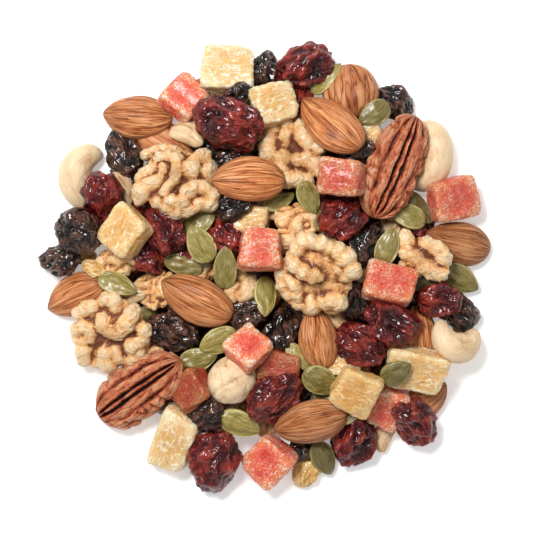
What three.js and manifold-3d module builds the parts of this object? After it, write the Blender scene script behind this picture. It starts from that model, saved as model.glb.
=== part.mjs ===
// A loose heap of trail mix, as it lies when poured on a table: whole almonds, walnut and pecan
// halves, cashews, hazelnuts, raisins, cranberries, cubes of dried papaya and pineapple, and
// pumpkin seeds. The pieces lie on and against each other, so the heap is one solid, flat where
// it rests and uneven everywhere else. Millimetres, +Z up, origin at the middle of its base.
import * as THREE from "three";
import { mergeVertices } from "three/addons/utils/BufferGeometryUtils.js";
import Module from "manifold-3d";

const wasm = await Module();
wasm.setup();

// Driving dimensions.
const MOUND_RADIUS = 66; // the packed inside of the heap, where it meets the table
const MOUND_HEIGHT = 14; // and in the middle
const MOUND_SIDES = 24;
const MOUND_RINGS = 5;
const MOUND_WAVE = 2.5; // how far its edge wanders in and out
const MOUND_SINK = 1.5; // the mound reaches this far below its base before it is cut flat
const BITE = 2.5; // how far a piece settles into the mound
const SEAT = 1; // and into the pieces below it
const FOOT = 0.5; // pieces on the table are cut flat this far up, so that they stand
const CUTTER = 400; // side of the block that cuts the base flat
const CELL = 1; // the ground under the pieces is known at points this far apart
const REACH = 90; // from the middle out to here
const TILTS = [-20, -10, 0, 10, 20]; // degrees a piece may lean about its length and its width

// Height of the packed mound, radius by radius: a low dome with a soft foot.
const moundHeight = (radius) => {
  const share = Math.min(1, radius / MOUND_RADIUS);
  return MOUND_HEIGHT * (1 - share ** 2.6) ** 0.75;
};

// A unit sphere of few faces, whose shape functions below bend it into each kind of piece.
const unitSphere = (around, along) => {
  const ball = new THREE.SphereGeometry(1, around, along);
  ball.rotateZ(Math.PI / 2); // its poles lie at both ends of the piece's length, along X
  return ball;
};

// Moves each vertex of a geometry by a function of its place.
const reshape = (geometry, move) => {
  const at = geometry.getAttribute("position");
  const p = new THREE.Vector3();
  for (let i = 0; i < at.count; i++) {
    p.fromBufferAttribute(at, i);
    move(p);
    at.setXYZ(i, p.x, p.y, p.z);
  }
  return geometry;
};

// Each kind has its usual thickness and a form, made at its own length and width.
const KINDS = {
  // Pointed at +X, blunt and broad at the other end.
  almond: {
    thick: 8.2,
    form: () => reshape(unitSphere(8, 5), (p) => (p.y *= 1.02 - 0.3 * Math.max(p.x, 0) ** 2)),
  },
  // Flat, pointed at +X.
  seed: {
    thick: 3,
    form: () => reshape(unitSphere(7, 4), (p) => (p.y *= 1 - 0.35 * Math.max(p.x, 0) ** 2)),
  },
  // Shrivelled ovals.
  raisin: { thick: 8.5, form: () => reshape(unitSphere(6, 4), crumple(0.08)) },
  cranberry: { thick: 9.5, form: () => reshape(unitSphere(7, 5), crumple(0.1)) },
  golden: { thick: 6, form: () => reshape(unitSphere(7, 5), crumple(0.08)) },
  // Cubes with dulled corners and a slightly smaller top.
  papaya: { thick: 10, form: () => dulledCube() },
  pineapple: { thick: 10, form: () => dulledCube() },
  hazelnut: { thick: 14.5, form: () => unitSphere(9, 6) },
  nib: { thick: 7, form: () => reshape(unitSphere(6, 4), crumple(0.12)) },
  // Bent round a notch that opens to +X.
  cashew: { thick: 9, form: () => bentKernel() },
  // Half kernels: lobed all round, with a furrow along the middle.
  walnut: { thick: 14, form: () => reshape(unitSphere(12, 8), lobes) },
  // Two lengthwise grooves beside a middle ridge.
  pecan: { thick: 10.5, form: () => reshape(unitSphere(14, 7), grooves) },
};

function crumple(depth) {
  return (p) => {
    const wave = Math.sin(5 * p.x + 2 * p.z) * Math.cos(4 * p.y - 3 * p.x);
    p.multiplyScalar(1 - depth + depth * wave);
  };
}

function dulledCube() {
  const cube = new THREE.BoxGeometry(2, 2, 2, 2, 2, 2);
  return reshape(cube, (p) => {
    const corner = Math.abs(p.x * p.y * p.z);
    const edge = Math.abs(p.x * p.y) + Math.abs(p.y * p.z) + Math.abs(p.z * p.x);
    p.multiplyScalar(corner > 0.5 ? 0.84 : edge > 0.5 ? 0.93 : 1);
    p.x *= 1 - 0.05 * p.z;
    p.y *= 1 - 0.05 * p.z;
  });
}

function bentKernel() {
  const reach = 2.05; // half the bend, in radians
  const spine = 0.62; // radius of the bend, against the piece's half length
  const girth = 0.4;
  return reshape(unitSphere(7, 9), (p) => {
    const turn = Math.PI - reach * p.x;
    const plump = Math.sqrt(Math.max(1 - p.x * p.x, 0) + 1e-9);
    const full = (1 - Math.abs(p.x) ** 3.5) ** 0.5 / plump;
    const out = spine + girth * full * p.y;
    p.set(out * Math.cos(turn), out * Math.sin(turn), full * p.z);
  });
}

function lobes(p) {
  const angle = Math.atan2(p.y, p.x);
  const rim = 1 - 0.09 * (1 - Math.cos(7 * angle)) * (1 - p.z * p.z);
  const furrow = 0.35 * Math.exp(-((p.y / 0.16) ** 2)) * Math.max(p.z, 0);
  p.set(p.x * rim, p.y * rim, p.z - furrow);
}

function grooves(p) {
  const apart = 0.28;
  const cut = Math.exp(-(((Math.abs(p.y) - apart) / 0.14) ** 2)) * Math.max(p.z, 0);
  p.set(p.x, p.y * (1 - 0.15 * p.x * p.x), p.z - 0.4 * cut);
}

// The pieces as they lie: kind, then [east, north, turn, length, width, level]. Turn is in
// degrees from +X. Level 0 peeps out from under the others, and level 3 lies on top.
const LAID = {
  almond: [
    [-43, 50, 175, 24, 14.6, 1],
    [-6, 29, 180, 25, 15.5, 3],
    [21.5, 47, 139, 26.5, 15.5, 2],
    [64, 8, 167, 24.5, 14.5, 1],
    [-64, -9.5, 206, 24, 14.5, 1],
    [-23, -11, 153, 26.5, 15.5, 3],
    [17, -23.5, 95, 21, 13, 1],
    [15, -52, 195, 25.5, 14.8, 3],
  ],
  walnut: [
    [-30, 29.5, -15, 31, 26, 2],
    [8.5, 38, -45, 26, 22, 1],
    [-53, -22.5, 80, 29, 27.5, 1],
    [16.5, -3, -70, 31, 28, 2],
    [52, 4, -40, 24, 19, 1],
  ],
  pecan: [
    [-42.5, -41, 35, 36, 18.5, 1],
    [42.5, 33.5, 68, 35.5, 18.5, 2],
  ],
  cashew: [
    [-61.5, 30, -15, 22, 20, 1],
    [54, 36.5, 190, 25, 22, 1],
    [63, -25, 85, 21, 21, 1],
  ],
  hazelnut: [
    [28.5, 58.5, 60, 16.4, 16.4, 1],
    [-11.5, -37.5, 40, 15.8, 14.8, 1],
  ],
  papaya: [
    [-28, 56.5, 45, 14, 13.5, 2],
    [-2, 5.5, -4, 13.5, 13, 3],
    [-6, -27, 48, 12.5, 12.5, 3],
    [24, 29.5, -8, 14.5, 12, 2],
    [62, 23, 20, 15, 14, 1],
    [40.5, -6, -15, 17.5, 13.5, 3],
    [1, -65, 45, 15, 14.5, 1],
    [40.5, -47, 58, 14.5, 11, 1],
    [-24.5, -41.5, 40, 13, 11, 1],
    [4, -33, -20, 14, 11, 1],
    [51.5, -45.5, -50, 12, 8, 0],
  ],
  pineapple: [
    [-13, 66, -3, 17, 15.5, 1],
    [2, 54.5, 14, 14.5, 13.5, 3],
    [-47, 12, 50, 15, 14, 3],
    [30, -40, -28, 15.5, 14.5, 3],
    [50, -34.5, -12, 19, 11.5, 1],
    [-30.5, -58, 68, 21, 14.5, 1],
  ],
  cranberry: [
    [-55, 23, 100, 19, 12.7, 2],
    [-12.5, 47.5, -15, 22.5, 17.5, 2],
    [12.5, 68, 30, 20, 14, 1],
    [-33.5, 12, -55, 16.5, 12.3, 1],
    [-39.5, 3, -30, 11, 9, 1],
    [-14.5, 11, -50, 16.5, 12, 1],
    [25.5, 16.5, 40, 15, 14, 2],
    [42, -19.5, -40, 18, 16, 2],
    [31, -27, -40, 19, 13, 2],
    [58, -12, 25, 15, 10, 2],
    [3, -43, 25, 20.5, 14.5, 2],
    [-17.5, -65, 60, 19, 17.5, 1],
    [29.5, -58, 110, 18, 14.5, 1],
    [50, -52, -40, 16, 14, 1],
    [11.5, 56, 60, 13, 9, 0],
  ],
  raisin: [
    [-48.5, 38, 113, 15.5, 11.3, 1],
    [-64, 12, -30, 15.3, 12.8, 2],
    [-69, 2, 170, 12.7, 10.7, 1],
    [-0.5, 66, 85, 15, 9, 1],
    [-12, 35, 20, 14, 10, 0],
    [-32, -21, -10, 17.3, 11.3, 1],
    [-6.5, -16.5, 10, 13, 10, 1],
    [5.5, -21, 80, 16, 11, 1],
    [29.5, -11.5, -55, 16, 10.7, 1],
    [33, 9, 60, 15.5, 11.3, 1],
    [43, 55, -50, 13.5, 10.7, 1],
    [50, -9, 80, 14.5, 7, 1],
    [65, -14.5, -50, 12.5, 10.3, 1],
    [-21, -48.5, 45, 14, 13, 1],
    [12, -61, 0, 10, 9, 0],
  ],
  golden: [
    [13, -70, 80, 11, 8, 1],
    [-60, 4, -10, 10, 7, 0],
    [40, -57.5, 80, 10, 8, 1],
    [-5.5, 16, -10, 12.5, 10, 2],
  ],
  nib: [
    [-26, 44, -30, 12.5, 10, 1],
    [10.5, 15.5, -20, 12, 10.5, 2],
    [-38, -7, 40, 14, 12, 1],
    [-49, 1, -30, 15, 9, 1],
    [-37, -26, 0, 10, 8, 0],
  ],
  seed: [
    [20, 63.5, 42, 14.5, 7, 2],
    [36, 50.5, 218, 12, 8, 3],
    [4, 22, 25, 11.5, 7, 2],
    [13, 23, 105, 11.5, 7.5, 3],
    [-22, 7.5, 122, 13.5, 9.5, 3],
    [-28, 1, -10, 13.5, 8, 3],
    [-14, -0.5, 90, 14.5, 8, 3],
    [-0.5, -10, 262, 15, 8, 3],
    [-50, -6, -20, 13.5, 8.5, 3],
    [40.5, 6.5, 70, 13, 7.5, 3],
    [47.5, 16.5, -12, 12.5, 8.5, 3],
    [52, 19.5, -45, 14, 9.5, 2],
    [66, -4.5, -25, 15, 10.5, 2],
    [-16, -24.5, 205, 13.5, 9, 3],
    [-22.5, -31, 8, 13, 8, 3],
    [-9, -53, -20, 14.5, 8.5, 3],
    [18, -38, 165, 14, 10, 3],
    [43, -35.5, 35, 11.5, 9, 3],
    [19, -64.5, -58, 13, 8, 2],
  ],
};

// The geometry as a solid that can be joined and cut.
const solidOf = (geometry, matrix) => {
  const bare = (geometry.index ? geometry.toNonIndexed() : geometry).clone();
  bare.deleteAttribute("normal");
  bare.deleteAttribute("uv");
  if (matrix) bare.applyMatrix4(matrix);
  const merged = mergeVertices(bare, 1e-3);
  return new wasm.Manifold(
    new wasm.Mesh({
      numProp: 3,
      vertProperties: merged.getAttribute("position").array,
      triVerts: new Uint32Array(merged.index.array),
    }),
  );
};

// The packed inside: a dome on a flat base, turned about Z, its edge wandering a little.
const mound = () => {
  const profile = [new THREE.Vector2(0, -MOUND_SINK)];
  for (let ring = 0; ring <= MOUND_RINGS; ring++) {
    const radius = MOUND_RADIUS * Math.cos((ring / MOUND_RINGS) * (Math.PI / 2));
    profile.push(new THREE.Vector2(radius, ring ? moundHeight(radius) : -MOUND_SINK));
  }
  profile[profile.length - 1].x = 0;
  const dome = new THREE.LatheGeometry(profile, MOUND_SIDES);
  dome.rotateX(Math.PI / 2);
  return reshape(dome, (p) => {
    const radius = Math.hypot(p.x, p.y);
    const angle = Math.atan2(p.y, p.x);
    const wave = (MOUND_WAVE * Math.sin(3 * angle + 1) * radius) / MOUND_RADIUS;
    p.x += wave * Math.cos(angle);
    p.y += wave * Math.sin(angle);
  });
};

// The ground: how high the heap stands so far, over a square of points.
const SPAN = Math.round((2 * REACH) / CELL) + 1;
const ground = new Float64Array(SPAN * SPAN);
const groundAt = (i, j) => i * SPAN + j;
for (let i = 0; i < SPAN; i++) {
  for (let j = 0; j < SPAN; j++) {
    const radius = Math.hypot(i * CELL - REACH, j * CELL - REACH);
    ground[groundAt(i, j)] = Math.max(SEAT - FOOT, moundHeight(radius) - BITE);
  }
}

// Lowest and highest of a piece's surface at each point of the ground that it covers.
const shadow = (geometry) => {
  const flat = geometry.index ? geometry.toNonIndexed() : geometry;
  const at = flat.getAttribute("position");
  const cover = new Map();
  const [a, b, c] = [new THREE.Vector3(), new THREE.Vector3(), new THREE.Vector3()];
  for (let t = 0; t < at.count; t += 3) {
    [a, b, c].forEach((corner, n) => corner.fromBufferAttribute(at, t + n));
    const area = (b.x - a.x) * (c.y - a.y) - (c.x - a.x) * (b.y - a.y);
    if (Math.abs(area) < 1e-9) continue;
    const first = (v) => Math.ceil((Math.min(...v) + REACH) / CELL);
    const last = (v) => Math.floor((Math.max(...v) + REACH) / CELL);
    for (let i = first([a.x, b.x, c.x]); i <= last([a.x, b.x, c.x]); i++) {
      for (let j = first([a.y, b.y, c.y]); j <= last([a.y, b.y, c.y]); j++) {
        const x = i * CELL - REACH;
        const y = j * CELL - REACH;
        const toB = ((x - a.x) * (c.y - a.y) - (c.x - a.x) * (y - a.y)) / area;
        const toC = ((b.x - a.x) * (y - a.y) - (x - a.x) * (b.y - a.y)) / area;
        if (toB < 0 || toC < 0 || toB + toC > 1) continue;
        const z = a.z + toB * (b.z - a.z) + toC * (c.z - a.z);
        const old = cover.get(groundAt(i, j)) ?? [z, z];
        cover.set(groundAt(i, j), [Math.min(old[0], z), Math.max(old[1], z)]);
      }
    }
  }
  return cover;
};

// One piece, turned as it lies, leaning whichever way lets it lie lowest, and laid on the ground,
// which it then raises.
const lay = (kind, [east, north, turn, long, wide]) => {
  const { thick, form } = KINDS[kind];
  const made = form().applyMatrix4(new THREE.Matrix4().makeScale(long / 2, wide / 2, thick / 2));
  let best = null;
  for (const rock of TILTS) {
    for (const pitch of TILTS) {
      const lean = new THREE.Euler(
        THREE.MathUtils.degToRad(rock),
        THREE.MathUtils.degToRad(pitch),
        THREE.MathUtils.degToRad(turn),
        "ZYX",
      );
      const matrix = new THREE.Matrix4().makeRotationFromEuler(lean).setPosition(east, north, 0);
      const cover = shadow(made.clone().applyMatrix4(matrix));
      let rise = -Infinity;
      for (const [cell, [low]] of cover) rise = Math.max(rise, ground[cell] - low);
      if (best === null || rise < best.rise) best = { rise, matrix, cover };
    }
  }
  const top = best.rise - SEAT;
  for (const [cell, [, high]] of best.cover) ground[cell] = Math.max(ground[cell], high + top);
  best.matrix.premultiply(new THREE.Matrix4().makeTranslation(0, 0, top));
  return solidOf(made, best.matrix);
};

// Everything laid level by level, joined, and cut flat at the table, without the sealed gaps
// between pieces.
const heapGeometry = () => {
  const rows = Object.entries(LAID).flatMap(([kind, list]) => list.map((row) => [kind, row]));
  const pieces = [0, 1, 2, 3].flatMap((level) =>
    rows.filter(([, row]) => row[5] === level).map(([kind, row]) => lay(kind, row)),
  );
  const table = solidOf(
    new THREE.BoxGeometry(CUTTER, CUTTER, CUTTER),
    new THREE.Matrix4().makeTranslation(0, 0, -CUTTER / 2),
  );
  const joined = [solidOf(mound()), ...pieces].reduce((sum, next) => sum.add(next));
  const shells = joined.subtract(table).decompose();
  const largest = shells.reduce((a, b) => (a.volume() > b.volume() ? a : b));
  const mesh = largest.getMesh();
  const points = new Float32Array(mesh.numVert * 3);
  for (let i = 0; i < mesh.numVert; i++) {
    points.set(mesh.vertProperties.subarray(i * mesh.numProp, i * mesh.numProp + 3), i * 3);
  }
  const geometry = new THREE.BufferGeometry();
  geometry.setAttribute("position", new THREE.BufferAttribute(points, 3));
  geometry.setIndex(new THREE.BufferAttribute(mesh.triVerts, 1));
  geometry.computeBoundingBox();
  const middle = geometry.boundingBox.getCenter(new THREE.Vector3());
  geometry.translate(-middle.x, -middle.y, -geometry.boundingBox.min.z);
  geometry.computeVertexNormals();
  return geometry;
};

const heap = new THREE.Mesh(
  heapGeometry(),
  new THREE.MeshStandardMaterial({ color: 0x9a5f3c, roughness: 0.6, metalness: 0 }),
);
heap.name = "trail_mix_heap";

const group = new THREE.Group();
group.add(heap);
export default group;
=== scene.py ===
"""A loose heap of trail mix on a pale table: nuts, seeds, dried berries and cubes of dried fruit.

Every piece starts as a sphere, a cube or a few strings of balls, and is shaped by its kind's own
function. It is then laid on the pieces below it, leaning whichever way lets it lie lowest. All
the pieces of a kind, or of a few like kinds, are joined into one mesh.
"""
import math
from collections import namedtuple
from functools import cache, cached_property, partial

import bmesh
import bpy
import numpy as np
from mathutils import Euler, Matrix, Vector


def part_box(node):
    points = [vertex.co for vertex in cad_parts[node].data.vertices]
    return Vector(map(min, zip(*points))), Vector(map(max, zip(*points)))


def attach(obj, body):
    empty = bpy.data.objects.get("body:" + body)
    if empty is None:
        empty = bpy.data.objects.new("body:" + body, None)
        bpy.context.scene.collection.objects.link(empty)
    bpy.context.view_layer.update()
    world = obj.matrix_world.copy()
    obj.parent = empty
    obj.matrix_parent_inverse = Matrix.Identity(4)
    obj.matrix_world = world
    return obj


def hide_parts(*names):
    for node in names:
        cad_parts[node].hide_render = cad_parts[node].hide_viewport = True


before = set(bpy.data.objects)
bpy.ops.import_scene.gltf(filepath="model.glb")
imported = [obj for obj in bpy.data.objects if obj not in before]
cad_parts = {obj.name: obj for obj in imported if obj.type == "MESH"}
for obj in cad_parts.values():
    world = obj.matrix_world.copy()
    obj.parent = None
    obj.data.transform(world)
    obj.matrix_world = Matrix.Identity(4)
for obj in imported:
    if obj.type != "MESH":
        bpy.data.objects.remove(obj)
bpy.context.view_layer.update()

bl_info = {
    "name": "Trail mix heap",
    "version": (1, 0, 0),
    "blender": (4, 5, 0),
    "location": "View3D > Sidebar > Trail mix",
    "description": "Builds a loose heap of nuts, seeds and dried fruit, and the table under it",
    "category": "Object",
}

MM = 0.001
NODE = "trail_mix_heap"
HEAP_LOW, HEAP_HIGH = (Vector(corner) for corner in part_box(NODE))
HEAP_RADIUS = 0.25 * (HEAP_HIGH.x - HEAP_LOW.x + HEAP_HIGH.y - HEAP_LOW.y)
DIMMED = 0.8  # a surface's own colour against how bright it looks on the stage


def linear(code):
    """A screen colour such as "b5673f" as the linear values that a shader takes."""
    values = [int(code[at : at + 2], 16) / 255 for at in (0, 2, 4)]
    return tuple(v / 12.92 if v <= 0.04045 else ((v + 0.055) / 1.055) ** 2.4 for v in values)


def tint(code):
    """The colour of a surface that looks like a screen colour under the stage's bright light."""
    return tuple(DIMMED * v for v in linear(code))


# How the pieces lie. Each row is east and north of the heap's middle, turn from +X, length and
# width, in millimetres and degrees, then the order in which it was poured: a later piece lies on
# the earlier ones that it meets. A row may end with how light the piece is, from 0 to 1.
Piece = namedtuple("Piece", "kind east north turn long wide order tone", defaults=(None,))

LAID = {
    "almond": [
        (-43.5, 50.5, 176, 24.0, 15.0, 2, 0.65),
        (-6.2, 29.0, 180, 25.0, 15.6, 4, 1.0),
        (21.6, 47.7, 139, 27.5, 15.8, 3, 0.95),
        (64.5, 8.0, 166, 24.5, 14.5, 1, 0.2),
        (-64.5, -9.8, 204, 23.0, 14.2, 1),
        (-23.5, -11.0, 153, 26.8, 15.4, 3),
        (17.3, -24.0, 98, 21.0, 13.4, 2),
        (14.6, -52.2, 192, 25.4, 15.2, 3),
        (-15.0, 57.0, 150, 22.0, 13.0, 1),
        (53.0, -45.8, 40, 20.0, 12.0, 1),
        (51.4, -22.6, 95, 20.0, 12.0, 1),
    ],
    "plump": [(28.4, 58.8, -82, 19.4, 18.6, 1, 0.25)],
    "hazelnut": [(-11.5, -38.0, 40, 17.6, 15.8, 2)],
    "curled_walnut": [(-30.2, 29.2, 0, 30.0, 27.0, 3)],
    "ringed_walnut": [(17.0, -2.8, 0, 29.5, 30.0, 3)],
    "notched_walnut": [(-52.4, -22.2, 0, 28.5, 29.0, 2)],
    "walnut_piece": [(8.8, 38.0, 140, 27.0, 22.0, 1)],
    "walnut_curl": [(53.0, 3.8, 0, 19.5, 18.0, 2)],
    "nib": [
        (10.5, 15.4, -10, 16.0, 11.5, 1),
        (-37.2, -7.4, 40, 15.0, 13.5, 1),
        (-8.0, -6.8, 10, 12.0, 11.0, 1),
        (-20.5, -1.0, 0, 12.0, 10.0, 1),
        (-49.6, 2.0, 10, 17.0, 11.0, 1),
        (-26.2, 15.2, 70, 10.0, 8.0, 1),
        (7.0, 8.6, 0, 10.0, 8.0, 1),
        (41.4, 13.5, 60, 10.0, 8.0, 1),
        (-10.6, -47.4, 0, 10.0, 8.0, 1),
        (-38.4, -27.0, 0, 9.0, 8.0, 1),
        (0.2, -53.8, 30, 9.0, 7.0, 1),
    ],
    "pecan": [
        (42.8, 33.5, 67, 37.5, 18.8, 4),
        (-42.6, -41.2, 35, 36.5, 18.6, 3),
    ],
    "cashew": [
        (-60.6, 30.6, -8, 22.5, 20.6, 1),
        (53.2, 37.0, 172, 22.5, 22.8, 1),
        (63.8, -23.6, 82, 21.0, 16.5, 2),
    ],
    "splinter": [
        (-48.4, 26.4, -62, 13.0, 5.6, 1),
        (-26.4, 44.2, -24, 13.0, 9.5, 4),
        (-44.6, -10.6, 30, 9.0, 6.0, 1),
        (40.2, -57.6, 60, 11.0, 7.2, 1),
    ],
    "papaya": [
        (-27.6, 56.8, 47, 13.2, 13.0, 5),
        (-2.0, 5.6, -2, 13.8, 13.4, 3),
        (-6.0, -27.7, 40, 12.8, 12.2, 3),
        (24.6, 30.0, -6, 15.0, 12.0, 4, 0.45),
        (62.6, 22.8, 14, 15.6, 13.6, 2),
        (41.0, -6.2, -14, 17.0, 12.6, 7),
        (0.9, -65.4, 48, 14.8, 14.4, 2),
        (40.8, -47.2, 62, 14.0, 11.4, 2),
        (-25.4, -41.8, 40, 13.0, 11.6, 2, 0.0),
        (4.2, -33.6, -12, 14.6, 11.0, 1, 0.1),
    ],
    "pineapple": [
        (-13.2, 65.8, -4, 17.0, 15.6, 1, 1.0),
        (1.8, 54.4, 14, 14.2, 13.0, 6, 0.8),
        (-47.2, 12.0, 54, 14.8, 14.0, 3, 0.4),
        (30.0, -41.4, -26, 14.6, 14.0, 4, 0.2),
        (50.2, -34.2, -12, 20.0, 13.0, 1, 0.65),
        (-30.8, -58.2, 70, 21.0, 13.6, 2, 0.85),
        (25.0, -32.4, 10, 12.0, 10.0, 1),
        (-5.6, 16.0, -6, 12.6, 9.8, 1, 0.6),
        (34.0, 42.6, 30, 12.0, 10.0, 1),
    ],
    "golden": [
        (13.4, -69.4, 70, 11.6, 8.6, 1),
        (-61.2, 3.8, -12, 9.0, 4.6, 1),
        (-58.2, -0.8, -25, 9.0, 5.2, 1),
    ],
    "cranberry": [
        (-12.8, 47.8, -20, 23.0, 18.0, 5),
        (13.0, 67.6, 26, 20.0, 14.6, 2),
        (-55.0, 22.8, 100, 20.0, 13.6, 2),
        (-33.6, 12.2, -66, 16.0, 12.8, 2),
        (-39.6, 3.2, -24, 11.6, 9.6, 1),
        (-14.4, 10.6, -36, 16.0, 11.8, 1),
        (25.6, 16.6, 40, 16.6, 14.2, 3),
        (57.8, -12.0, 14, 15.0, 11.2, 2),
        (42.2, -20.0, -34, 18.4, 15.8, 6),
        (31.2, -26.6, -30, 18.2, 13.4, 5),
        (2.6, -43.6, 34, 20.4, 15.4, 2),
        (29.6, -58.2, 74, 17.6, 14.8, 1),
        (50.2, -52.2, -60, 16.4, 13.6, 2),
        (-17.6, -65.2, 62, 20.6, 17.6, 3),
        (11.4, 58.2, 80, 13.0, 8.4, 1),
    ],
    "raisin": [
        (-48.4, 38.2, 112, 16.0, 11.8, 1),
        (-63.4, 12.2, -28, 15.6, 13.4, 2),
        (-69.6, 2.4, 10, 13.6, 11.0, 1),
        (-0.4, 66.4, 86, 13.0, 9.4, 1),
        (43.6, 55.4, -48, 13.8, 10.6, 1),
        (-12.0, 36.0, 12, 14.0, 9.6, 1),
        (-9.0, 56.6, 60, 11.0, 9.0, 1),
        (-11.2, 20.0, 20, 13.0, 9.0, 1),
        (33.0, 8.8, 60, 17.0, 11.4, 1),
        (29.4, -11.2, -62, 16.4, 11.2, 1),
        (-31.8, -22.0, -16, 18.6, 11.6, 1),
        (-7.0, -16.4, 24, 13.2, 9.4, 1),
        (5.2, -21.4, 84, 16.8, 11.2, 2),
        (-20.6, -48.2, 40, 16.4, 13.4, 1),
        (13.8, -40.8, 70, 11.0, 8.6, 1),
        (12.2, -61.4, 10, 10.4, 8.4, 1),
        (50.2, -9.0, 80, 14.6, 9.2, 1),
        (65.4, -15.4, -42, 14.0, 11.2, 1),
        (30.4, 38.0, 30, 12.0, 9.0, 1),
    ],
    "seed": [
        (20.2, 63.4, 46, 14.0, 6.6, 1),
        (36.0, 51.2, 214, 12.4, 8.4, 2, 0.3),
        (4.2, 22.0, 25, 12.0, 6.6, 2),
        (14.2, 23.0, -68, 12.2, 7.8, 3),
        (18.6, 17.0, 75, 11.6, 6.4, 2),
        (47.4, 17.0, 160, 13.0, 8.6, 2),
        (51.0, 19.6, -50, 13.4, 8.0, 1, 0.0),
        (-22.2, 7.6, 120, 13.8, 9.6, 2),
        (-28.2, 0.8, 168, 13.8, 7.8, 1),
        (-13.8, -0.2, 88, 15.0, 8.2, 2),
        (-0.4, -10.2, -92, 14.6, 8.2, 2),
        (-50.0, -6.0, -22, 14.0, 8.0, 3),
        (40.6, 6.6, 70, 13.2, 8.0, 2),
        (65.4, -4.2, -30, 14.6, 9.8, 1),
        (54.0, -4.2, 10, 13.0, 8.0, 1, 0.0),
        (-16.2, -25.0, 205, 14.0, 9.4, 2),
        (-23.0, -31.4, 15, 13.4, 8.6, 1),
        (-8.8, -52.8, -25, 15.0, 9.4, 3),
        (18.2, -38.4, -30, 14.0, 10.0, 3),
        (43.4, -35.6, 30, 11.4, 8.6, 3, 0.15),
        (19.2, -64.8, -62, 13.6, 8.4, 1, 0.1),
        (10.8, -30.4, -50, 12.0, 5.8, 1),
        (20.6, -44.2, 20, 12.0, 8.0, 1),
        (28.0, -47.8, 60, 12.0, 8.0, 1),
        (-22.2, 14.8, 30, 12.0, 8.0, 1),
    ],
}

# The pieces that lie hidden under the others: how many of each kind, and their usual size.
HIDDEN = {
    "almond": (6, 23, 14),
    "nib": (5, 15, 12),
    "cashew": (2, 21, 16.5),
    "papaya": (1, 13, 12),
    "pineapple": (1, 13, 12),
    "cranberry": (6, 16, 12),
    "raisin": (10, 14, 10),
    "seed": (6, 13, 8),
}

# The lobes of the shelled walnuts, seen from above. Each row is the lobe's radius and how high it
# lies, then the east and north of each point that it runs through, in millimetres.
LOBES = {
    "curled": [
        (2.1, 4.6, -5.4, 7.7, 0.3, 8.3, 1.6, 3.6, 1.0, -1.6, -3.0, -6.7),
        (2.0, 2.2, -10.6, 10.6, -5.0, 12.2, 1.2, 10.6),
        (2.4, 3.0, -7.0, 3.8, -11.5, 0.0),
        (2.7, 2.8, -6.0, -1.5, -10.5, -4.2, -12.0, -8.0),
        (1.7, 3.6, -3.5, 3.5, -5.5, -3.0),
        (3.0, 3.8, 9.2, 9.2, 6.0, 4.5, 5.5, 1.8),
        (2.5, 2.0, 11.6, 6.5, 10.5, 2.0),
        (2.4, 4.0, -1.6, -9.7, 3.2, -10.0, 5.8, -4.8, 9.5, -3.8, 13.0, -6.5, 12.6, -10.0),
        (2.4, 1.8, -4.6, -9.2, 0.7, -12.2, 6.0, -11.0),
        (2.2, 2.4, 8.5, -9.5, 13.4, -8.4),
    ],
    "ringed": [
        (2.3, 3.6, -7.3, 8.6, -4.5, 12.4, 0.2, 13.0, 4.8, 10.4),
        (2.3, 4.6, -8.9, 6.0, -5.0, 2.8, 0.8, 0.6),
        (2.8, 3.4, 7.4, 9.2, 11.0, 5.6, 12.6, 0.5),
        (2.2, 2.6, 7.4, 3.4, 10.6, -0.6),
        (2.3, 2.2, -12.4, 1.8, -12.2, -2.0, -11.0, -5.8, -8.6, -9.0),
        (2.1, 3.2, -9.4, -1.0, -7.0, -4.4, -7.2, -8.8),
        (2.2, 2.6, -8.1, -10.0, -3.4, -11.6),
        (2.4, 3.4, -2.2, -8.4, -1.6, -12.8),
        (2.7, 3.4, 2.0, -9.2, 6.6, -8.4, 7.6, -11.6),
        (2.0, 2.4, 3.0, -12.6, 6.0, -12.6),
    ],
    "notched": [
        (2.6, 4.4, -2.0, 6.2, -1.3, 2.6, 2.7, 1.2, 6.7, 4.6, 8.6, 9.0),
        (2.3, 3.0, -2.4, 11.4, 1.2, 12.8, 2.0, 9.4),
        (2.4, 2.6, -10.8, 7.0, -7.7, 9.2, -4.7, 9.0),
        (2.3, 3.0, -12.0, 0.9, -8.5, 2.6, -4.7, 0.9),
        (2.0, 2.8, -12.0, -2.4, -9.0, -2.4, -6.0, -0.8),
        (2.8, 3.6, -10.0, -9.4, -10.2, -5.8),
        (2.7, 3.4, -1.0, -12.6, -2.4, -9.4, -1.8, -6.4),
        (2.2, 3.6, 2.2, -8.8, 1.2, -5.6),
        (2.6, 3.0, 11.0, -2.1, 6.7, -3.4, 8.7, -6.7),
        (2.3, 2.2, 10.4, 2.6, 11.6, -0.6),
        (2.4, 2.4, 5.6, -8.9, 8.2, -9.6),
        (2.0, 2.0, -6.0, -11.4, -4.6, -8.0),
    ],
    "piece": [
        (2.6, 3.6, -9.5, 4.0, -5.0, 7.5, 0.0, 6.0, 1.5, 2.0),
        (2.4, 3.0, -10.5, -1.0, -6.0, -2.0, -3.0, 1.0),
        (2.5, 3.4, -6.0, -6.5, -1.0, -5.0, 3.0, -7.5),
        (2.7, 3.8, 4.0, 6.0, 8.0, 3.0, 9.5, -1.5),
        (2.3, 3.2, 3.5, 0.0, 7.0, -5.0, 10.5, -5.0),
    ],
    "curl": [
        (2.7, 3.2, -5.6, 5.8, -5.0, 1.2, -1.4, -0.8, 1.4, -4.6, 5.0, -6.0),
        (2.4, 2.8, 1.0, 3.6, 4.6, 1.6, 6.8, -2.0),
        (2.2, 1.8, -5.8, -3.0, -2.4, -5.4),
    ],
}


# ---------------------------------------------------------------- noise
# Points are rows of x, y and z. The last number given to each kind of noise is a seed, which
# keeps one use of it apart from the others.

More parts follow.
